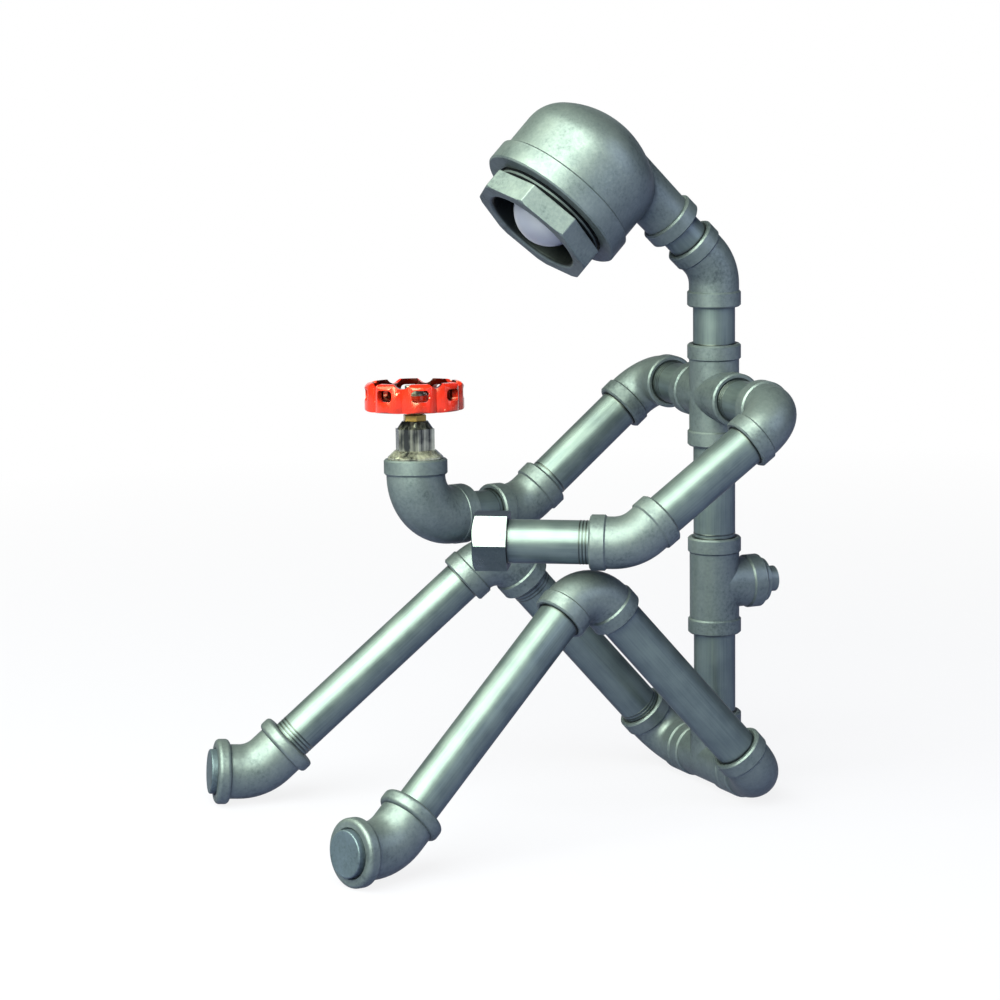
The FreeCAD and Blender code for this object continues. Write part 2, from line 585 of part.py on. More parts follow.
def handwheel_blank():
    """Return the scalloped wheel about its own Z axis, resting on its hub side."""
    tall = FreeCAD.Vector(0, 0, WHEEL_HEIGHT)
    cushion = Part.makeCylinder(WHEEL_R + LOBE_RISE, WHEEL_HEIGHT)
    rims = sorted((e for e in cushion.Edges if len(e.Vertexes) == 1),
                  key=lambda e: e.CenterOfMass.z)
    cushion = cushion.makeFillet(WHEEL_TOP_ROUND, rims[-1:])
    rims = [e for e in cushion.Edges if len(e.Vertexes) == 1 and e.CenterOfMass.z < 0.1]
    cushion = cushion.makeFillet(WHEEL_FOOT_ROUND, rims)
    outside = rim_outline(WHEEL_R, LOBE_RISE).extrude(tall).common(cushion)
    hollow = rim_outline(WHEEL_R - WHEEL_WALL, LOBE_RISE).extrude(tall * 2)
    rim = outside.cut(hollow.translated(-tall / 2))
    plate = rim_outline(WHEEL_R - WHEEL_WALL / 2, LOBE_RISE)
    plate = plate.extrude(FreeCAD.Vector(0, 0, PLATE_THICK)).translated(UP * PLATE_LEVEL)
    hub = Part.makeCylinder(HUB_R, HUB_HEIGHT)
    wheel = rim.fuse([plate, hub])
    reach = WHEEL_R + 3 * LOBE_RISE
    window = Part.makeBox(reach, WINDOW_WIDTH, WINDOW_HEIGHT,
                          FreeCAD.Vector(HUB_R + WHEEL_WALL, -WINDOW_WIDTH / 2, WINDOW_SILL))
    window = window.makeFillet(WINDOW_ROUND, [e for e in window.Edges
                                              if abs(e.tangentAt(e.FirstParameter).x) > 0.9])
    inner = Part.makeCylinder(WHEEL_R - WHEEL_WALL - 2 * LOBE_RISE, WHEEL_HEIGHT)
    window = window.cut(inner)
    dip = Part.makeCylinder(CREST_CUT_R, reach, UP * (WHEEL_HEIGHT + CREST_CUT_R - CREST_DIP),
                            FreeCAD.Vector(1, 0, 0))
    hole = Part.makeCylinder(PLATE_HOLE_R, WHEEL_HEIGHT, FreeCAD.Vector(PLATE_HOLE_RING, 0, 0))
    cuts = around(window, WHEEL_LOBES) + around(dip, WHEEL_LOBES, 180.0 / WHEEL_LOBES)
    cuts += around(hole, PLATE_HOLES, 180.0 / PLATE_HOLES)
    cuts.append(Part.makeCylinder(STEM_R, HUB_HEIGHT))
    return wheel.cut(cuts)


def handwheel(seat, rise, on, switch_mouth):
    """Make the red wheel, its washer and nut, and the stem that carries them."""
    place = frame(seat, rise, on)
    upright = FreeCAD.Placement(FreeCAD.Vector(), FreeCAD.Vector(0, 1, 0), 90)
    turn = FreeCAD.Placement(FreeCAD.Vector(), UP, WHEEL_TURN)
    keep("handwheel", placed(handwheel_blank(), place.multiply(upright).multiply(turn)))
    top = seat + rise * HUB_HEIGHT
    keep("wheel_washer", ring(top, rise, WASHER_THICK, WASHER_R, STEM_R))
    nut_seat = top + rise * WASHER_THICK
    nut = prism(nut_seat, rise, on, WHEEL_NUT_HEIGHT, WHEEL_NUT_FLATS, 6)
    keep("wheel_nut", nut.cut(rod(nut_seat, rise, WHEEL_NUT_HEIGHT, STEM_R)))
    foot = switch_mouth - rise * BONNET_ENGAGE
    length = (nut_seat - foot).Length + WHEEL_NUT_HEIGHT
    keep("valve_stem", rod(foot, rise, length, STEM_R))


def seat():
    """Make the hip tee, which stands on the desk under the upright pipe."""
    side = seat_side()
    keep("hip_tee", junction(HIP, [UP, side, -side], TEE_REACH))


def seat_side():
    """Return the way across the hips, turned a little on the upright pipe."""
    return mix(LEFT, -FORWARD, LEG_TURN)


def foot_drop(shin_way, toe_way):
    """Return how far a foot reaches below its corner."""
    drops = [FOOT_BODY_R]
    for way, reach, radius in ((-shin_way, ANKLE_REACH, ANKLE_BEAD_R),
                               (toe_way, TOE_REACH, TOE_BEAD_R)):
        flat = math.sqrt(1 - way.z ** 2)
        for along in (reach - BEAD_ROUND, reach - BEAD_LENGTH + BEAD_ROUND):
            drops.append(radius * flat - along * way.z)
    return max(drops)


def leg(side):
    """Make one leg: hip, thigh, knee, shin and a foot that stands on the desk."""
    name = "left" if side > 0 else "right"
    out = seat_side() * side
    ahead = mix(FORWARD, LEFT, LEG_TURN)
    keep(f"{name}_hip_nipple", pipe(HIP + out * TEE_REACH, out, HIP_GAP))
    hip = HIP + out * (TEE_REACH + HIP_GAP + ELBOW_REACH)
    slope = math.degrees(math.atan2(KNEE_RISE, KNEE_AHEAD))
    up_way = mix(ahead, UP, slope)
    keep(f"{name}_hip_elbow", elbow(hip, -out, up_way, ELBOW_REACH, ELBOW_BEND))
    keep(f"{name}_thigh_pipe", pipe(hip + up_way * ELBOW_REACH, up_way, THIGH))
    knee = hip + up_way * THIGH_SPAN
    down_way = mix(mix(ahead, -UP, 90 - slope), out, LEG_SPLAY)
    toe_way = mix(down_way, square_to(UP, down_way), 45)
    sole = foot_drop(down_way, toe_way)
    shin = (knee.z - sole) / -down_way.z - ELBOW_REACH - ANKLE_REACH
    keep(f"{name}_knee_elbow", elbow(knee, -up_way, down_way, ELBOW_REACH, ELBOW_BEND))
    keep(f"{name}_shin_pipe", pipe(knee + down_way * ELBOW_REACH, down_way, shin))
    ankle = knee + down_way * (ELBOW_REACH + shin + ANKLE_REACH)
    beads = [(ANKLE_BEAD_R, BEAD_LENGTH, BEAD_ROUND), (TOE_BEAD_R, BEAD_LENGTH, BEAD_ROUND)]
    sockets = [(SOCKET_R, ENGAGE), (TOE_PLUG_R + SOCKET_CLEAR, ENGAGE)]
    keep(f"{name}_foot_elbow", elbow(ankle, -down_way, toe_way, (ANKLE_REACH, TOE_REACH), FOOT_BEND,
                                     FOOT_BODY_R, beads, sockets, collar=bead))
    plug_seat = ankle + toe_way * (TOE_REACH - ENGAGE)
    plug = rod(plug_seat, toe_way, ENGAGE + TOE_PLUG_PROUD, TOE_PLUG_R)
    rim = [e for e in plug.Edges if len(e.Vertexes) == 1
           and e.Curve.Center.distanceToPoint(plug_seat) > ENGAGE]
    keep(f"{name}_foot_plug", plug.makeFillet(BAND_ROUND, rim))


def leads(shoulder, joint, wrist, hand, rise):
    """Make the lead inside the pipes, in lengths that meet on the turning axes."""
    split = CROSS_REACH - ENGAGE
    inlet = WAIST - FORWARD * (TEE_REACH - ENGAGE)
    keep("lead_spine", lead([inlet, WAIST, CHEST + UP * split], [LEAD_BEND_R]))
    start = CHEST - LEFT * LEAD_R
    keep("lead_branch", lead([start, CHEST - LEFT * split], []).cut(PARTS["lead_spine"]))
    neck_end = NAPE + NECK_WAY * (BEND45_REACH - ENGAGE)
    keep("lead_neck", lead([CHEST + UP * split, NAPE, neck_end], [LEAD_BEND_R]))
    terminal = HEAD - NECK_WAY * HOLDER_R
    keep("lead_head", lead([neck_end, terminal], []).cut(PARTS["lamp_holder"]))
    switch = hand + rise * (HAND_RISE - BONNET_ENGAGE - SWITCH_HEIGHT)
    route = [CHEST - LEFT * split, shoulder, joint, hand, switch]
    keep("lead_arm", lead(route, [LEAD_BEND_R, LEAD_BEND_R, LEAD_BEND_R]))


def build():
    """Make every sub-part of the lamp."""
    seat()
    spine()
    neck()
    head_casting()
    head_bushing()
    lamp()
    for side in (1, -1):
        leg(side)
    _, _, wrist, on = arm(1, LEFT_ARM_SLOPE, LEFT_ARM_ROLL, LEFT_FOREARM)
    hand_cap(wrist, on)
    shoulder, joint, wrist, on = arm(-1, RIGHT_ARM_SLOPE, RIGHT_ARM_ROLL, RIGHT_FOREARM)
    hand, rise = hand_elbow(wrist, on)
    seat_point = valve(hand, rise, on)
    handwheel(seat_point, rise, on, hand + rise * HAND_RISE)
    leads(shoulder, joint, wrist, hand, rise)


def export():
    """Write one file for each sub-part."""
    os.makedirs("parts", exist_ok=True)
    for name, shape in PARTS.items():
        shape.exportStep(f"parts/{name}.step")


build()
export()
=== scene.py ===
"""Looks of a desk lamp: a seated figure made of galvanised pipe fittings.

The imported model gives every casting, pipe and valve part. This script dresses them,
eases their edges, adds the threads that show, and sets up the studio and the camera.
"""
from __future__ import annotations

import json
import logging
import math
from dataclasses import dataclass, field
from enum import Enum
from typing import Any, Iterable

import bmesh
import bpy
from mathutils import Matrix, Vector


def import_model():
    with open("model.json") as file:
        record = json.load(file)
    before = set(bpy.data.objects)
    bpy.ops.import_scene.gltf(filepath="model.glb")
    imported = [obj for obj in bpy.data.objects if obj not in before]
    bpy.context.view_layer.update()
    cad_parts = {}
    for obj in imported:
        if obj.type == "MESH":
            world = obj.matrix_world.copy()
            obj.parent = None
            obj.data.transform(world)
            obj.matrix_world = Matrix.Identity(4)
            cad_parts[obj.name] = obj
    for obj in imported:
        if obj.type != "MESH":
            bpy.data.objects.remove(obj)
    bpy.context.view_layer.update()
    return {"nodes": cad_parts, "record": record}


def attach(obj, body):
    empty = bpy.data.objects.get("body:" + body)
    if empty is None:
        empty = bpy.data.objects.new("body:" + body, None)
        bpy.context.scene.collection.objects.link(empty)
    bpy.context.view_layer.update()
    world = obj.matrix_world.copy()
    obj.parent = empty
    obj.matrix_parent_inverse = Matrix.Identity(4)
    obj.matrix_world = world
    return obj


LOG = logging.getLogger("pipe_lamp")
MM = 0.001

# Sizes shared with the fittings, in millimetres
PIPE_R = 10.65   # outside radius of the pipe
ENGAGE = 11.0    # how far a pipe goes into a fitting


def linear(sheet: str) -> tuple[float, float, float, float]:
    """Turn an sRGB hex value into the linear colour that a shader takes.

    Args:
        sheet: six hex digits, with or without a leading #.

    Returns:
        Red, green, blue and an alpha of one.
    """
    digits = sheet.lstrip("#")
    values = [int(digits[i:i + 2], 16) / 255 for i in (0, 2, 4)]
    curve = [v / 12.92 if v <= 0.04045 else ((v + 0.055) / 1.055) ** 2.4 for v in values]
    return curve[0], curve[1], curve[2], 1.0


def square_ways(way: Vector) -> tuple[Vector, Vector]:
    """Find two unit vectors that are square to a way and to each other.

    Args:
        way: a vector of length one.

    Returns:
        The two vectors.
    """
    hint = Vector((0, 0, 1)) if abs(way.z) < 0.9 else Vector((0, 1, 0))
    across = way.cross(hint).normalized()
    return across, way.cross(across).normalized()


def stand(origin: Vector, way: Vector) -> Matrix:
    """Work out the matrix that stands a shape on a point.

    Args:
        origin: where the local origin goes.
        way: where local Z points, at length one.

    Returns:
        The matrix.
    """
    across, along = square_ways(way)
    turn = Matrix((across, along, way)).transposed()
    return Matrix.Translation(origin) @ turn.to_4x4()


# Shader trees

def add(tree: bpy.types.NodeTree, kind: str, inputs: dict[Any, Any] | None = None,
        **settings: Any) -> bpy.types.Node:
    """Add one node, with its settings, its values and its links.

    Args:
        tree: the node tree that gets the node.
        kind: the node's type name.
        inputs: socket name or number to a value, or to the output that feeds it.
        settings: attributes of the node.

    Returns:
        The new node.
    """
    node = tree.nodes.new(kind)
    for key, value in settings.items():
        setattr(node, key, value)
    for key, value in (inputs or {}).items():
        socket = node.inputs[key]
        if isinstance(value, bpy.types.NodeSocket):
            tree.links.new(value, socket)
        else:
            socket.default_value = value
    return node


def ramp(tree: bpy.types.NodeTree, factor: bpy.types.NodeSocket,
         stops: Iterable[tuple[float, tuple[float, float, float, float]]]) -> bpy.types.NodeSocket:
    """Add a colour ramp.

    Args:
        tree: the node tree that gets the ramp.
        factor: what runs along the ramp.
        stops: places from nought to one, with their colours.

    Returns:
        The ramp's colour.
    """
    node = add(tree, "ShaderNodeValToRGB", {0: factor})
    line = list(stops)
    while len(node.color_ramp.elements) < len(line):
        node.color_ramp.elements.new(0.5)
    for element, (place, colour) in zip(node.color_ramp.elements, line):
        element.position = place
        element.color = colour
    return node.outputs["Color"]


def grey(level: float) -> tuple[float, float, float, float]:
    """Return a neutral colour of a linear level."""
    return level, level, level, 1.0


def off_axis(tree: bpy.types.NodeTree, place: bpy.types.NodeSocket,
             centre: tuple[float, ...], axis: tuple[float, ...],
             unit_mm: float) -> bpy.types.NodeSocket:
    """Measure how far a point lies from an axis, as a share of a length.

    Args:
        tree: the node tree.
        place: the point's object coordinates.
        centre: a point on the axis, in metres.
        axis: the axis, at length one.
        unit_mm: the length that counts as one.

    Returns:
        The share.
    """
    spoke = add(tree, "ShaderNodeVectorMath", {0: place, 1: centre}, operation="SUBTRACT")
    lever = add(tree, "ShaderNodeVectorMath", {0: spoke.outputs[0], 1: axis},
                operation="CROSS_PRODUCT")
    out = add(tree, "ShaderNodeVectorMath", {0: lever.outputs[0]}, operation="LENGTH")
    return add(tree, "ShaderNodeMath", {0: out.outputs["Value"], 1: unit_mm * MM},
               operation="DIVIDE").outputs[0]


@dataclass(frozen=True)
class Finish:
    """A finish with a name, which starts as an empty shader on object coordinates."""

    name: str

    def start(self) -> tuple[bpy.types.Material, bpy.types.NodeTree, bpy.types.NodeSocket]:
        """Start a material on object coordinates.

        Returns:
            The new material, its emptied tree and its object coordinates.
        """
        material = bpy.data.materials.new(self.name)
        material.use_nodes = True
        tree = material.node_tree
        tree.nodes.clear()
        place = add(tree, "ShaderNodeTexCoord").outputs["Object"]
        return material, tree, place

    def close(self, tree: bpy.types.NodeTree, shader: bpy.types.NodeSocket) -> None:
        """Send a shader to the material's output."""
        add(tree, "ShaderNodeOutputMaterial", {"Surface": shader})


@dataclass(frozen=True)
class CastZinc(Finish):
    """Sand-cast malleable iron, dipped in zinc: a satin skin over a fine sandy grain.

    The zinc's clouds are about as wide as a pipe. The sand's real grain is about 0.3 mm,
    and it is drawn at 0.8 mm so that it shows. A bore may be given, whose inside is painted black
    as shade.
    """

    pale: str = "576271"
    mid: str = "4A5564"
    deep: str = "323B49"
    edge: str = "646E86"
    bore_mm: float = 0.0
    centre: tuple[float, float, float] = (0.0, 0.0, 0.0)
    axis: tuple[float, float, float] = (0.0, 0.0, 1.0)
    bore_shade: float = 0.10
    cloud_mm: float = 20.0
    fleck_mm: float = 1.6
    sand_mm: float = 0.8
    swell_mm: float = 7.0
    metallic: float = 0.66
    rough: float = 0.44

    def material(self) -> bpy.types.Material:
        """Return the finish as a material."""
        material, tree, place = self.start()
        clouds = add(tree, "ShaderNodeTexNoise",
                     {"Vector": place, "Scale": 1 / (self.cloud_mm * MM), "Detail": 5.0,
                      "Roughness": 0.62})
        flecks = add(tree, "ShaderNodeTexNoise",
                     {"Vector": place, "Scale": 1 / (self.fleck_mm * MM), "Detail": 3.0,
                      "Roughness": 0.6})
        blend = add(tree, "ShaderNodeMix", {"Factor": 0.4, "A": clouds.outputs[0],
                                            "B": flecks.outputs[0]})
        colour = ramp(tree, blend.outputs["Result"],
                      [(0.30, linear(self.deep)), (0.45, linear(self.mid)),
                       (0.66, linear(self.pale))])
        # Painted shade: inside the bore the colour is multiplied down to near black.
        if self.bore_mm:
            share = off_axis(tree, place, self.centre, self.axis, 2 * self.bore_mm)
            bore_shade = ramp(tree, share, [(0.50, grey(self.bore_shade)), (0.52, grey(1.0))])
            colour = add(tree, "ShaderNodeMix", {0: 1.0, 6: colour, 7: bore_shade},
                         data_type="RGBA", blend_type="MULTIPLY").outputs[2]
        rough = add(tree, "ShaderNodeMapRange",
                    {"Value": blend.outputs["Result"], "From Min": 0.3, "From Max": 0.7,
                     "To Min": self.rough + 0.05, "To Max": self.rough - 0.02})
        sand = add(tree, "ShaderNodeTexNoise",
                   {"Vector": place, "Scale": 1 / (self.sand_mm * MM), "Detail": 3.0})
        grain = add(tree, "ShaderNodeBump", {"Height": sand.outputs[0], "Strength": 0.5,
                                             "Distance": 0.10 * MM})
        swell = add(tree, "ShaderNodeTexNoise",
                    {"Vector": place, "Scale": 1 / (self.swell_mm * MM), "Detail": 1.0})
        bump = add(tree, "ShaderNodeBump", {"Height": swell.outputs[0], "Strength": 0.6,
                                            "Distance": 0.30 * MM,
                                            "Normal": grain.outputs[0]})
        shader = add(tree, "ShaderNodeBsdfPrincipled",
                     {"Base Color": colour, "Metallic": self.metallic,
                      "Specular Tint": linear(self.edge),
                      "Roughness": rough.outputs[0], "Normal": bump.outputs[0]})
        self.close(tree, shader.outputs[0])
        return material


@dataclass(frozen=True)
class DrawnZinc(Finish):
    """Galvanised tube: smooth zinc with faint marks of drawing along the pipe.

    With a wide range of tones and a high gloss it also makes a chrome plated part, whose
    planed sides get dark and light stripes of painted reflection in their colour.
    """

    way: tuple[float, float, float] = (0.0, 0.0, 1.0)
    pale: str = "525F6D"
    deep: str = "44505F"
    edge: str = "646E86"
    streak_mm: float = 0.9
    stretch: float = 30.0
    cloud_mm: float = 14.0
    gloss: float = 0.36
    metallic: float = 0.72

    def material(self) -> bpy.types.Material:
        """Return the finish as a material for a pipe that runs along the way."""
        material, tree, place = self.start()
        turn = stand(Vector(), Vector(self.way)).to_3x3().transposed().to_euler()
        lay = add(tree, "ShaderNodeMapping", {"Vector": place, "Rotation": turn})
        drawn = add(tree, "ShaderNodeMapping",
                    {"Vector": lay.outputs[0], "Scale": (1, 1, 1 / self.stretch)})
        streaks = add(tree, "ShaderNodeTexNoise",
                      {"Vector": drawn.outputs[0], "Scale": 1 / (self.streak_mm * MM),
                       "Detail": 2.0, "Roughness": 0.5})
        clouds = add(tree, "ShaderNodeTexNoise",
                     {"Vector": place, "Scale": 1 / (self.cloud_mm * MM), "Detail": 4.0})
        blend = add(tree, "ShaderNodeMix", {"Factor": 0.6, "A": streaks.outputs[0],
                                            "B": clouds.outputs[0]})
        colour = ramp(tree, blend.outputs["Result"],
                      [(0.36, linear(self.deep)), (0.62, linear(self.pale))])
        rough = add(tree, "ShaderNodeMapRange",
                    {"Value": clouds.outputs[0], "From Min": 0.3, "From Max": 0.7,
                     "To Min": self.gloss, "To Max": self.gloss + 0.06})
        bump = add(tree, "ShaderNodeBump", {"Height": streaks.outputs[0], "Strength": 0.15,
                                            "Distance": 0.02 * MM})
        shader = add(tree, "ShaderNodeBsdfPrincipled",
                     {"Base Color": colour, "Metallic": self.metallic,
                      "Specular Tint": linear(self.edge),
                      "Roughness": rough.outputs[0], "Normal": bump.outputs[0]})
        self.close(tree, shader.outputs[0])
        return material


@dataclass(frozen=True)
class PlainMetal(Finish):
    """A metal of one tone, turned or cut, with slight smudges in its gloss."""

    tone: str = "C8CACC"
    rough: float = 0.2
    smudge: float = 0.08
    smudge_mm: float = 6.0
    grain_mm: float = 0.0

    def material(self) -> bpy.types.Material:
        """Return the finish as a material."""
        material, tree, place = self.start()
        clouds = add(tree, "ShaderNodeTexNoise",
                     {"Vector": place, "Scale": 1 / (self.smudge_mm * MM), "Detail": 3.0})
        rough = add(tree, "ShaderNodeMapRange",
                    {"Value": clouds.outputs[0], "From Min": 0.3, "From Max": 0.7,
                     "To Min": self.rough, "To Max": self.rough + self.smudge})
        values = {"Base Color": linear(self.tone), "Metallic": 1.0,
                  "Roughness": rough.outputs[0]}
        if self.grain_mm:
            grain = add(tree, "ShaderNodeTexNoise",
                        {"Vector": place, "Scale": 1 / (self.grain_mm * MM), "Detail": 2.0})
            bump = add(tree, "ShaderNodeBump", {"Height": grain.outputs[0], "Strength": 0.4,
                                                "Distance": 0.08 * MM})
            values["Normal"] = bump.outputs[0]
        shader = add(tree, "ShaderNodeBsdfPrincipled", values)
        self.close(tree, shader.outputs[0])
        return material


@dataclass(frozen=True)
class StoveEnamel(Finish):
    """Gloss enamel dipped on a rough casting, chipped to pale primer in places.

    The inside of the rim is painted dark as shade: there the coat keeps little of its red and its
    shine.
    """

    centre: tuple[float, float, float] = (0.0, 0.0, 0.0)
    axis: tuple[float, float, float] = (0.0, 0.0, 1.0)
    rim_mm: float = 25.0
    red: str = "92180A"
    deep: str = "701408"
    chip: str = "C9A79A"
    cloud_mm: float = 9.0
    chip_mm: float = 3.2
    lump_mm: float = 1.6
    shine: float = 0.36
    coat: float = 0.2

    def painted_shade(self, tree: bpy.types.NodeTree,
              place: bpy.types.NodeSocket) -> bpy.types.NodeSocket:
        """Work out the painted shade on the coat, from its distance to the wheel's axis.

        Args:
            tree: the node tree.
            place: the point's object coordinates.

        Returns:
            One on the rest of the wheel, 0.6 near the axis, and near nought on the inside of the
            rim, where the shade is painted darkest.
        """
        share = off_axis(tree, place, self.centre, self.axis, self.rim_mm)
        return ramp(tree, share, [(0.40, grey(0.6)), (0.62, grey(0.05)),
                                  (0.845, grey(0.05)), (0.87, grey(1.0))])

    def material(self) -> bpy.types.Material:
        """Return the finish as a material."""
        material, tree, place = self.start()
        clouds = add(tree, "ShaderNodeTexNoise",
                     {"Vector": place, "Scale": 1 / (self.cloud_mm * MM), "Detail": 3.0})
        paint = ramp(tree, clouds.outputs[0],
                     [(0.35, linear(self.deep)), (0.6, linear(self.red))])
        flecks = add(tree, "ShaderNodeTexNoise",
                     {"Vector": place, "Scale": 1 / (self.chip_mm * MM), "Detail": 5.0,
                      "Roughness": 0.62})
        chipped = ramp(tree, flecks.outputs[0], [(0.66, grey(0.0)), (0.70, grey(1.0))])
        worn = add(tree, "ShaderNodeMix", {0: chipped, 6: paint, 7: linear(self.chip)},
                   data_type="RGBA")
        # Painted shade: the inside of the rim and the plate are darkened and lose their shine.
        unshaded = self.painted_shade(tree, place)
        colour = add(tree, "ShaderNodeMix", {0: 1.0, 6: worn.outputs[2], 7: unshaded},
                     data_type="RGBA", blend_type="MULTIPLY")
        shine, coat = (add(tree, "ShaderNodeMath", {0: unshaded, 1: top}, operation="MULTIPLY")
                       for top in (self.shine, self.coat))
        rough = add(tree, "ShaderNodeMapRange", {"Value": chipped, "To Min": 0.24,
                                                 "To Max": 0.6})
        lumps = add(tree, "ShaderNodeTexNoise",
                    {"Vector": place, "Scale": 1 / (self.lump_mm * MM), "Detail": 2.0})
        bump = add(tree, "ShaderNodeBump", {"Height": lumps.outputs[0], "Strength": 0.35,
                                            "Distance": 0.15 * MM})
        shader = add(tree, "ShaderNodeBsdfPrincipled",
                     {"Base Color": colour.outputs[2], "Roughness": rough.outputs[0],
                      "Normal": bump.outputs[0], "Specular IOR Level": shine.outputs[0],
                      "Coat Weight": coat.outputs[0], "Coat Roughness": 0.12})
        self.close(tree, shader.outputs[0])
        return material


@dataclass(frozen=True)
class FrostedGlass(Finish):
    """Acid-frosted lamp glass, white inside, whose colour is painted a dim violet grey as its
    shade, so it looks like pale violet wax.
    """

    # Painted shade: both tones are far darker than white frosted glass.
    tone: str = "666C88"
    shade: str = "545A78"
    cloud_mm: float = 18.0

    def material(self) -> bpy.types.Material:
        """Return the finish as a material."""
        material, tree, place = self.start()
        clouds = add(tree, "ShaderNodeTexNoise",
                     {"Vector": place, "Scale": 1 / (self.cloud_mm * MM), "Detail": 2.0})
        colour = ramp(tree, clouds.outputs[0], [(0.3, linear(self.shade)),
                                                (0.6, linear(self.tone))])
        shader = add(tree, "ShaderNodeBsdfPrincipled",
                     {"Base Color": colour, "Roughness": 0.42, "IOR": 1.5})
        self.close(tree, shader.outputs[0])
        return material


@dataclass(frozen=True)
class Moulded(Finish):
    """Moulded plastic or rubber with a fine even grain."""

    tone: str = "E2DED2"
    rough: float = 0.5
    grain_mm: float = 0.8

    def material(self) -> bpy.types.Material:
        """Return the finish as a material."""
        material, tree, place = self.start()
        grain = add(tree, "ShaderNodeTexNoise",
                    {"Vector": place, "Scale": 1 / (self.grain_mm * MM), "Detail": 2.0})
        bump = add(tree, "ShaderNodeBump", {"Height": grain.outputs[0], "Strength": 0.2,
                                            "Distance": 0.05 * MM})
        shader = add(tree, "ShaderNodeBsdfPrincipled",
                     {"Base Color": linear(self.tone), "Roughness": self.rough,
                      "Normal": bump.outputs[0]})
        self.close(tree, shader.outputs[0])
        return material


# Meshes

def finish_piece(mesh: bmesh.types.BMesh, name: str, body: str,
                 material: bpy.types.Material, smooth: float = 35.0) -> bpy.types.Object:
    """Turn a finished mesh into a piece that rides on a body.

    Args:
        mesh: the piece's mesh, in place, in metres.
        name: the piece's name.
        body: the body it moves with.
        material: its material.
        smooth: the angle in degrees past which an edge stays sharp.

    Returns:
        The new object.
    """
    bmesh.ops.remove_doubles(mesh, verts=mesh.verts, dist=1e-7)
    bmesh.ops.recalc_face_normals(mesh, faces=mesh.faces)
    data = bpy.data.meshes.new(name)
    mesh.to_mesh(data)
    mesh.free()
    data.shade_smooth()
    data.set_sharp_from_angle(angle=math.radians(smooth))
    data.materials.append(material)
    piece = bpy.data.objects.new(name, data)
    bpy.context.scene.collection.objects.link(piece)
    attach(piece, body)
    LOG.info("made %s on %s", name, body)
    return piece


def spun(mesh: bmesh.types.BMesh, outline: list[tuple[float, float]], place: Matrix,
         steps: int = 64) -> None:
    """Spin a closed outline of (radius, height) in millimetres into a ring.

    Args:
        mesh: the mesh that gets the ring.
        outline: the section's corners, in order.
        place: takes the ring's axis from local Z to its place.
        steps: how many sides the ring has.
    """
    verts = [mesh.verts.new((r * MM, 0, h * MM)) for r, h in outline]
    edges = [mesh.edges.new((a, b)) for a, b in zip(verts, verts[1:] + verts[:1])]
    start = len(mesh.verts) - len(verts)
    bmesh.ops.spin(mesh, geom=verts + edges, cent=(0, 0, 0), axis=(0, 0, 1), dvec=(0, 0, 0),
                   angle=math.tau, steps=steps, use_merge=True, use_duplicate=False)
    mesh.verts.ensure_lookup_table()
    bmesh.ops.transform(mesh, matrix=place, verts=mesh.verts[start:])


def thread_outline(crest: float, depth: float, pitch: float, length: float,
                   buried: float) -> list[tuple[float, float]]:
    """Return the section of a cut thread: a row of teeth over a buried inner wall.

    Args:
        crest: radius at the crests.
        depth: height of a tooth.
        pitch: distance between teeth.
        length: length of the thread.
        buried: radius of the inner wall.

    Returns:
        The section's corners as (radius, height).
    """
    teeth = max(1, round(length / pitch))
    step = length / teeth
    flat = step / 8
    line = [(buried, 0.0), (crest - depth, 0.0)]
    for i in range(teeth):
        foot = i * step
        line += [(crest, foot + step / 2 - flat), (crest, foot + step / 2 + flat),
                 (crest - depth, foot + step)]
    return line + [(buried, length)]


class End(Enum):
    """Which end of a pipe is meant, by the name that its thread gets."""

    NEAR = "near"
    FAR = "far"


@dataclass
class Run:
    """A straight pipe: where it starts, which way it goes and how long it is."""

    start: Vector
    way: Vector
    length: float

    @classmethod
    def of(cls, part: bpy.types.Object) -> "Run":
        """Measure a tube from its two end rings.

        Args:
            part: the tube, whose vertices all lie at its ends.

        Returns:
            The tube's run, in metres.
        """
        points = [part.matrix_world @ v.co for v in part.data.vertices]
        middle = sum(points, Vector()) / len(points)
        far = max(points, key=lambda p: (p - middle).length)
        rough = (far - middle).normalized()
        halves = [[p for p in points if (p - middle).dot(rough) * side > 0] for side in (-1, 1)]
        ends = []
        for half in halves:
            low = Vector(tuple(min(p[i] for p in half) for i in range(3)))
            high = Vector(tuple(max(p[i] for p in half) for i in range(3)))
            ends.append((low + high) / 2)
        return cls(ends[0], (ends[1] - ends[0]).normalized(), (ends[1] - ends[0]).length)

    def mouth(self, end: End) -> tuple[Vector, Vector]:
        """Find where the pipe leaves the fitting at one of its ends.

        Args:
            end: which end is meant.

        Returns:
            The point on the pipe's axis and the way out of the fitting.
        """
        if end is End.FAR:
            return self.start + self.way * (self.length - ENGAGE * MM), -self.way
        return self.start + self.way * ENGAGE * MM, self.way


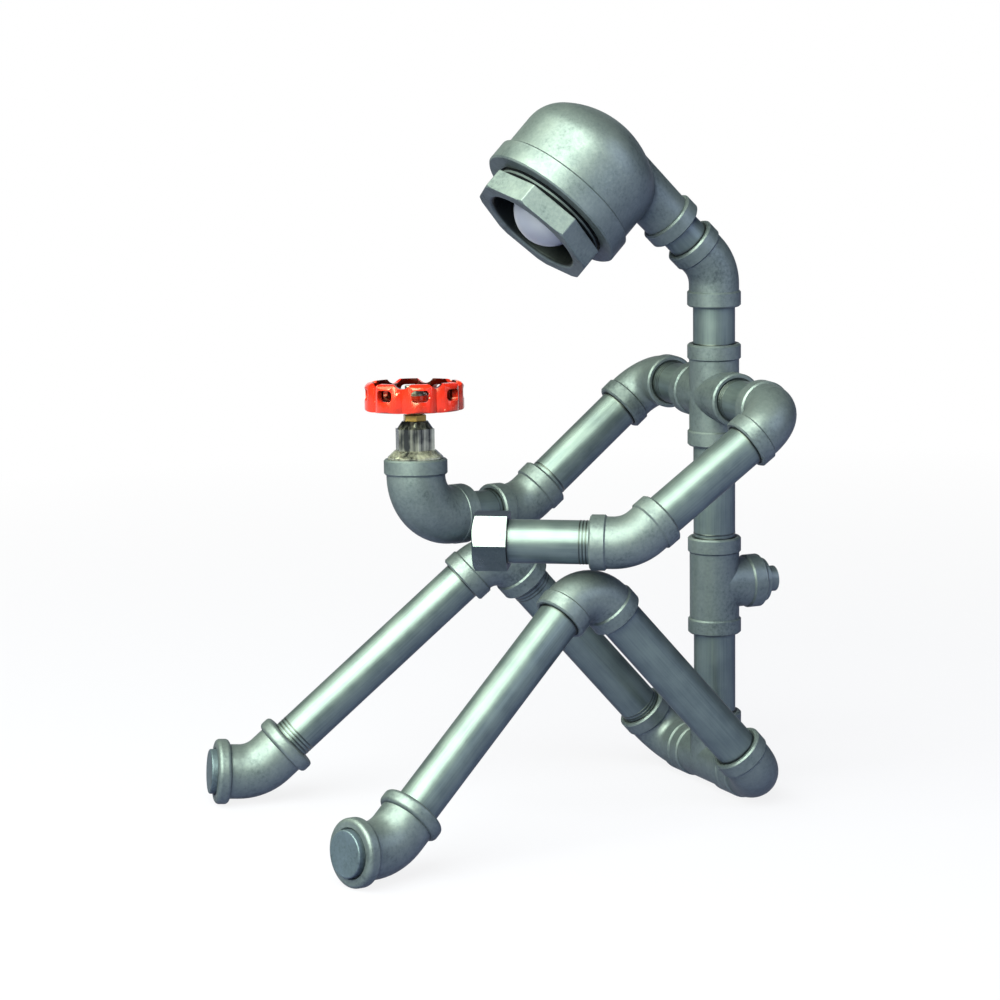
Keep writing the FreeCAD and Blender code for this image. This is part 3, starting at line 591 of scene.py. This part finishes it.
@dataclass
class Palette:
    """Every finish of the lamp, made once, with the handwheel's centre and axis."""

    wheel_centre: tuple[float, float, float]
    wheel_axis: tuple[float, float, float]
    casting: bpy.types.Material = field(init=False)
    thread: bpy.types.Material = field(init=False)
    planed: bpy.types.Material = field(init=False)
    gap: bpy.types.Material = field(init=False)
    plug: bpy.types.Material = field(init=False)
    chrome: bpy.types.Material = field(init=False)
    brass: bpy.types.Material = field(init=False)
    enamel: bpy.types.Material = field(init=False)
    bright: bpy.types.Material = field(init=False)
    glass: bpy.types.Material = field(init=False)
    sheet: bpy.types.Material = field(init=False)
    plastic: bpy.types.Material = field(init=False)
    sheath: bpy.types.Material = field(init=False)

    def __post_init__(self) -> None:
        """Make the materials."""
        self.casting = CastZinc("hot dipped malleable casting").material()
        self.thread = PlainMetal("cut pipe thread with oil", tone="3A424B", rough=0.34,
                                 grain_mm=0.7).material()
        self.planed = CastZinc("planed hexagon cap", metallic=0.92, rough=0.28).material()
        # Painted shade: the thread in the bushing's gap is coloured near black for the shade in
        # the gap.
        self.gap = PlainMetal("thread in the bushing's gap, painted dark as shade", tone="0D1018",
                              rough=0.7).material()
        self.plug = CastZinc("dark zinc plug", pale="4A5870", mid="404D60",
                             deep="2A3442").material()
        # Painted reflection: the stripes from pale to deep stand in for the dark and light that
        # the bonnet mirrors.
        self.chrome = DrawnZinc("chrome plated bonnet with painted reflections", way=self.wheel_axis, pale="A8AEB2",
                                deep="2E323A", streak_mm=1.8, gloss=0.14).material()
        self.brass = PlainMetal("turned brass", tone="8F7A4A", rough=0.3).material()
        self.enamel = StoveEnamel("red stove enamel", centre=self.wheel_centre,
                                  axis=self.wheel_axis).material()
        self.bright = PlainMetal("bright zinc hardware", tone="787C7E", rough=0.3).material()
        self.glass = FrostedGlass("frosted lamp glass").material()
        self.sheet = PlainMetal("pressed aluminium sheet", tone="C4C6C8", rough=0.3).material()
        self.plastic = Moulded("moulded urea plastic").material()
        self.sheath = Moulded("black silicone sheath", tone="17181A", rough=0.6).material()

    def by_slot(self, slot: str) -> bpy.types.Material:
        """Return the finish that a record's material slot stands for."""
        return {
            "galvanised_casting": self.casting, "dark_plug": self.plug, "chrome": self.chrome,
            "brass": self.brass, "red_enamel": self.enamel, "steel_hardware": self.bright,
            "frosted_glass": self.glass, "lamp_cap": self.sheet,
            "switch_plastic": self.plastic, "lead": self.sheath,
        }[slot]


def dress(part: bpy.types.Object, material: bpy.types.Material) -> None:
    """Give every slot of a part one material."""
    for place in part.material_slots:
        place.material = material


def soften(part: bpy.types.Object, width_mm: float, segments: int = 3) -> None:
    """Round the sharp edges of a part and shade it smoothly between them.

    Args:
        part: the part, whose own mesh stays as it is.
        width_mm: how far the rounding reaches from an edge.
        segments: how many strips make the rounding.
    """
    weld = part.modifiers.new("join", "WELD")
    weld.merge_threshold = 2e-6
    bevel = part.modifiers.new("ease", "BEVEL")
    bevel.width = width_mm * MM
    bevel.segments = segments
    bevel.limit_method = "ANGLE"
    bevel.angle_limit = math.radians(28)
    bevel.harden_normals = True
    bevel.use_clamp_overlap = True


@dataclass
class Limbs:
    """Every pipe and casting of the figure, with threads where the pipes go in.

    The threads stand a little out of the pipe, and their inner wall is buried in it. shows
    gives how much thread shows at each pipe's two ends, and eased how wide each part's
    edges are rounded, in millimetres.
    """

    parts: dict[str, bpy.types.Object]
    palette: Palette
    slots: dict[str, str]
    body_of: dict[str, str]
    pitch: float = 1.814
    tooth: float = 0.45
    stand_out: float = 0.12
    wall: float = 1.5
    sides: int = 56
    shows: dict[str, tuple[float, float]] = field(default_factory=lambda: {
        "lower_spine_pipe": (1.6, 1.2), "upper_spine_pipe": (1.2, 3.0),
        "neck_pipe": (1.0, 1.0), "head_nipple": (1.4, 1.0),
        "left_shoulder_nipple": (4.0, 4.0), "right_shoulder_nipple": (5.5, 6.5),
        "left_upper_arm": (1.2, 1.6), "right_upper_arm": (3.6, 1.6),
        "left_forearm": (5.5, 1.0), "right_forearm": (2.0, 3.0),
        "left_thigh_pipe": (1.6, 1.6), "right_thigh_pipe": (6.0, 4.0),
        "left_shin_pipe": (1.6, 1.2), "right_shin_pipe": (6.5, 1.2)})
    eased: dict[str, float] = field(default_factory=lambda: {
        "head_bushing": 0.7, "left_hand_cap": 1.8, "handwheel": 0.8, "valve_bonnet": 0.4,
        "packing_nut": 0.3, "wheel_nut": 0.4})

    def build(self) -> None:
        """Dress the pipes and castings and add the threads."""
        for name, part in self.parts.items():
            slot = self.slots[name]
            if slot == "galvanised_pipe":
                run = Run.of(part)
                dress(part, DrawnZinc(f"drawn zinc of {name}", way=tuple(run.way)).material())
                self.threads(name, run)
            elif name == "left_hand_cap":
                dress(part, self.palette.planed)
            else:
                dress(part, self.palette.by_slot(slot))
            if name in self.eased:
                soften(part, self.eased[name])

    def threads(self, name: str, run: Run) -> None:
        """Add the threads that show at both ends of a pipe.

        Args:
            name: the pipe's name.
            run: where the pipe runs.
        """
        for end, length in zip(End, self.shows.get(name, ())):
            mouth, way = run.mouth(end)
            mesh = bmesh.new()
            start = mouth - way * self.pitch / 2 * MM
            outline = thread_outline(PIPE_R + self.stand_out, self.tooth, self.pitch,
                                     length + self.pitch / 2, PIPE_R - self.wall)
            spun(mesh, outline, stand(start, way), steps=self.sides)
            finish_piece(mesh, f"{name}_{end.value}_thread", self.body_of[name],
                         self.palette.thread)


@dataclass
class Head:
    """The bushing's thread in the gap behind it, painted near black as shade, and the bushing's
    bore, painted black as shade.
    """

    parts: dict[str, bpy.types.Object]
    palette: Palette
    thread_r: float = 30.15
    stand_out: float = 0.35
    wall: float = 2.0
    bore_r: float = 24.9
    sunk: float = 1.0
    length: float = 5.2
    pitch: float = 2.309
    tooth: float = 0.9
    sides: int = 96

    def build(self) -> None:
        """Add the thread between the head's band and the bushing, and dress the bushing."""
        centre, way = self.axis()
        mesh = bmesh.new()
        outline = thread_outline(self.thread_r + self.stand_out, self.tooth, self.pitch,
                                 self.length, self.thread_r - self.wall)
        spun(mesh, outline, stand(centre - way * self.sunk * MM, way), steps=self.sides)
        # The gap's thread takes a near-black finish, painted as the shade in the gap.
        finish_piece(mesh, "bushing_thread", "head", self.palette.gap)
        # Painted shade: the bushing's bore is darkened to black.
        bushing = CastZinc("bushing with painted shade in its bore", bore_mm=self.bore_r,
                           centre=tuple(centre), axis=tuple(way)).material()
        dress(self.parts["head_bushing"], bushing)

    def axis(self) -> tuple[Vector, Vector]:
        """Find the head's mouth from the holder and the globe, which share its axis.

        Returns:
            The centre of the mouth's face and the way out of it.
        """
        cap = self.parts["lamp_holder"]
        globe = self.parts["bulb_glass"]
        back, front = (sum((v.co for v in p.data.vertices), Vector()) / len(p.data.vertices)
                       for p in (cap, globe))
        way = (front - back).normalized()
        points = [(v.co - back).dot(way) for v in self.parts["head_elbow"].data.vertices]
        return back + way * max(points), way


@dataclass
class Studio:
    """The pale floor, the lights, the world and the camera.

    The room is dim and cool, so the zinc's shadows turn blue. The backdrop is a white card
    behind the figure, and the floor fades into it between the two distances of fade.
    """

    azimuth: float = 67.15
    elevation: float = 10.08
    roll: float = -0.74
    distance: float = 1.736
    focal_px: float = 3401.0
    picture_px: float = 1000.0
    aim_side: float = -0.1094
    aim_height: float = 0.1487
    sensor: float = 36.0
    card_edge: float = math.radians(30)
    room: str = "39435E"
    lift: float = 0.86
    matt: str = "7C80A6"
    fade: tuple[float, float] = (0.35, 1.1)
    floor_half: float = 6.0
    light_aim: tuple[float, float, float] = (0.0, -0.08, 0.17)

    def ways(self) -> tuple[Vector, Vector, Vector]:
        """Work out the camera's turn.

        Returns:
            The ways to its right, up from it and back from it.
        """
        a, e, r = (math.radians(v) for v in (self.azimuth, self.elevation, self.roll))
        back = Vector((math.sin(a) * math.cos(e), -math.cos(a) * math.cos(e), math.sin(e)))
        right = Vector((math.cos(a), math.sin(a), 0))
        up = back.cross(right)
        return (right * math.cos(r) + up * math.sin(r),
                up * math.cos(r) - right * math.sin(r), back)

    def camera(self) -> None:
        """Place the camera as the photograph was taken."""
        right, up, back = self.ways()
        aim = right * self.aim_side + Vector((0, 0, self.aim_height))
        data = bpy.data.cameras.new("camera")
        data.sensor_width = self.sensor
        data.lens = self.focal_px / self.picture_px * self.sensor
        data.clip_end = 20.0
        turn = Matrix((right, up, back)).transposed().to_4x4()
        view = bpy.data.objects.new("camera", data)
        view.matrix_world = Matrix.Translation(aim + back * self.distance) @ turn
        bpy.context.scene.collection.objects.link(view)
        bpy.context.scene.camera = view

    def lamp(self, name: str, place: tuple[float, float, float], watts: float,
             size: float, tone: str) -> None:
        """Add a square area lamp that points at the figure.

        Args:
            name: the lamp's name.
            place: its distance to the right, up and back of the figure, in metres.
            watts: its power.
            size: the length of its side, in metres.
            tone: its colour as sRGB hex.
        """
        right, up, back = self.ways()
        aim = Vector(self.light_aim)
        spot = aim + right * place[0] + up * place[1] + back * place[2]
        data = bpy.data.lights.new(name, "AREA")
        data.energy = watts
        data.size = size
        data.color = linear(tone)[:3]
        light = bpy.data.objects.new(name, data)
        light.matrix_world = (Matrix.Translation(spot)
                              @ (spot - aim).to_track_quat("Z", "Y").to_matrix().to_4x4())
        bpy.context.scene.collection.objects.link(light)

    def seen(self, tree: bpy.types.NodeTree) -> bpy.types.NodeSocket:
        """Tell the rays that show the background as it is from the rest.

        Args:
            tree: the node tree.

        Returns:
            One for camera, glossy and transmission rays, and nought for the others.
        """
        ray = add(tree, "ShaderNodeLightPath")
        level = ray.outputs["Is Camera Ray"]
        for kind in ("Is Glossy Ray", "Is Transmission Ray"):
            level = add(tree, "ShaderNodeMath", {0: level, 1: ray.outputs[kind]},
                        operation="MAXIMUM").outputs[0]
        return level

    def world(self) -> None:
        """Set a dim cool room with a white backdrop behind the figure."""
        world = bpy.data.worlds.new("studio")
        world.use_nodes = True
        tree = world.node_tree
        tree.nodes.clear()
        ray = add(tree, "ShaderNodeLightPath")
        behind = self.ways()[2] * -1.0
        aside = add(tree, "ShaderNodeVectorMath",
                    {0: add(tree, "ShaderNodeTexCoord").outputs["Generated"],
                     1: Vector((behind.x, behind.y, 0)).normalized()}, operation="DOT_PRODUCT")
        card = add(tree, "ShaderNodeMapRange",
                   {"Value": aside.outputs["Value"], "From Min": math.cos(self.card_edge),
                    "From Max": math.cos(self.card_edge * 0.7)})
        card = add(tree, "ShaderNodeMath", {0: card.outputs[0], 1: self.seen(tree)},
                   operation="MULTIPLY")
        card = add(tree, "ShaderNodeMath", {0: card.outputs[0],
                                            1: ray.outputs["Is Camera Ray"]},
                   operation="MAXIMUM")
        tone = add(tree, "ShaderNodeMix", {0: card.outputs[0], 6: linear(self.room),
                                           7: grey(1.0)}, data_type="RGBA")
        light = add(tree, "ShaderNodeBackground", {"Color": tone.outputs[2], "Strength": 1.0})
        add(tree, "ShaderNodeOutputWorld", {"Surface": light.outputs[0]})
        bpy.context.scene.world = world

    def floor(self) -> None:
        """Lay the pale floor, which fades into the white backdrop."""
        mesh = bmesh.new()
        bmesh.ops.create_grid(mesh, x_segments=1, y_segments=1, size=self.floor_half)
        data = bpy.data.meshes.new("floor")
        mesh.to_mesh(data)
        mesh.free()
        material = bpy.data.materials.new("pale floor")
        material.use_nodes = True
        tree = material.node_tree
        tree.nodes.clear()
        away = add(tree, "ShaderNodeVectorMath",
                   {0: add(tree, "ShaderNodeTexCoord").outputs["Object"]}, operation="LENGTH")
        glow = add(tree, "ShaderNodeMapRange",
                   {"Value": away.outputs["Value"], "From Min": self.fade[0],
                    "From Max": self.fade[1], "To Min": self.lift, "To Max": 1.0})
        share = add(tree, "ShaderNodeMath", {0: glow.outputs[0], 1: self.seen(tree)},
                    operation="MULTIPLY")
        matt = add(tree, "ShaderNodeBsdfDiffuse", {"Color": linear(self.matt)})
        white = add(tree, "ShaderNodeEmission", {"Color": grey(1.0), "Strength": 1.0})
        surface = add(tree, "ShaderNodeMixShader", {0: share.outputs[0], 1: matt.outputs[0],
                                                    2: white.outputs[0]})
        add(tree, "ShaderNodeOutputMaterial", {"Surface": surface.outputs[0]})
        data.materials.append(material)
        floor = bpy.data.objects.new("floor", data)
        bpy.context.scene.collection.objects.link(floor)

    def build(self) -> None:
        """Set up everything round the figure."""
        self.floor()
        self.world()
        self.lamp("key", (-0.62, 0.80, 1.15), 198.0, 1.7, "FFFFCA")
        self.lamp("rim", (-0.75, 0.75, 0.1), 12.0, 0.8, "FDFFC6")
        self.lamp("side", (0.9, 0.45, 0.6), 7.0, 0.9, "FFFFFF")
        self.camera()
        bpy.context.scene.view_settings.view_transform = "Standard"


def main() -> None:
    """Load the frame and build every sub-assembly."""
    logging.basicConfig(level=logging.INFO, format="%(name)s: %(message)s")
    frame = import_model()
    record = frame["record"]
    slots = {s["node"]: s["material_slot"] for s in record["subparts"]}
    body_of = {node: body for body, nodes in record["behaviour"]["bodies"].items()
               for node in nodes}
    wheel = next(j for j in record["behaviour"]["joints"] if j["name"] == "handwheel_turn")
    palette = Palette(tuple(wheel["pos_m"]), tuple(wheel["axis"]))
    parts = frame["nodes"]
    Limbs(parts, palette, slots, body_of).build()
    Head(parts, palette).build()
    Studio().build()


if __name__ == "__main__":
    main()
